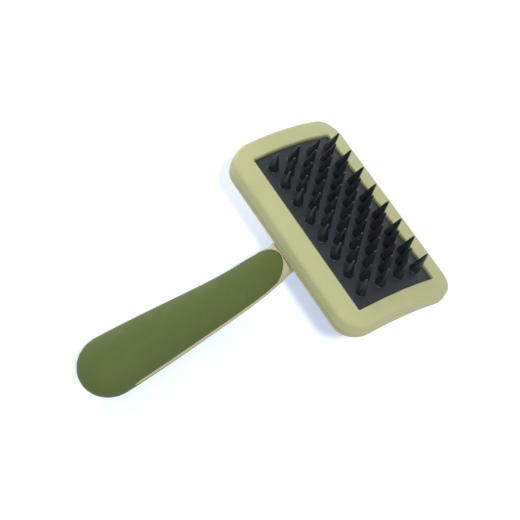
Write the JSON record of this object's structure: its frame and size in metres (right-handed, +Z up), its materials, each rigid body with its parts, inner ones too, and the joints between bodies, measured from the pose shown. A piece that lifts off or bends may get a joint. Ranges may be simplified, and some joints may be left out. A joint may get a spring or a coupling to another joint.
{
  "type": "slicker brush",
  "caption": "Pet slicker brush: an arched rectangular head with a window of moulded conical teeth on a flexible pad, a flat-backed rear shell, and a drooping handle with a soft overmoulded grip",
  "frame": {"origin": "centre of the bounding box's bottom: the surface that the brush lies on, on its back with its teeth up", "axes": "+X from the butt of the handle to the far side of the head, +Y along the head's long side, +Z up, out of the toothed face"},
  "size_m": [0.154, 0.098, 0.0388],
  "materials": {
    "frame_plastic": "moulded sage green plastic, softly glossy",
    "pad_rubber": "moulded charcoal rubber, satin",
    "shell_plastic": "moulded sage green plastic, softly glossy",
    "core_plastic": "moulded sage and sand plastic, softly glossy",
    "grip_rubber": "matte olive green soft-touch overmoulding",
    "screw_steel": "plated steel"
  },
  "bodies": {
    "root": {"head_frame": "frame_plastic", "tooth_pad": "pad_rubber", "rear_shell": "shell_plastic", "handle_core": "core_plastic", "handle_grip": "grip_rubber", "tang_screw_1": "screw_steel", "tang_screw_2": "screw_steel"}
  },
  "joints": []
}
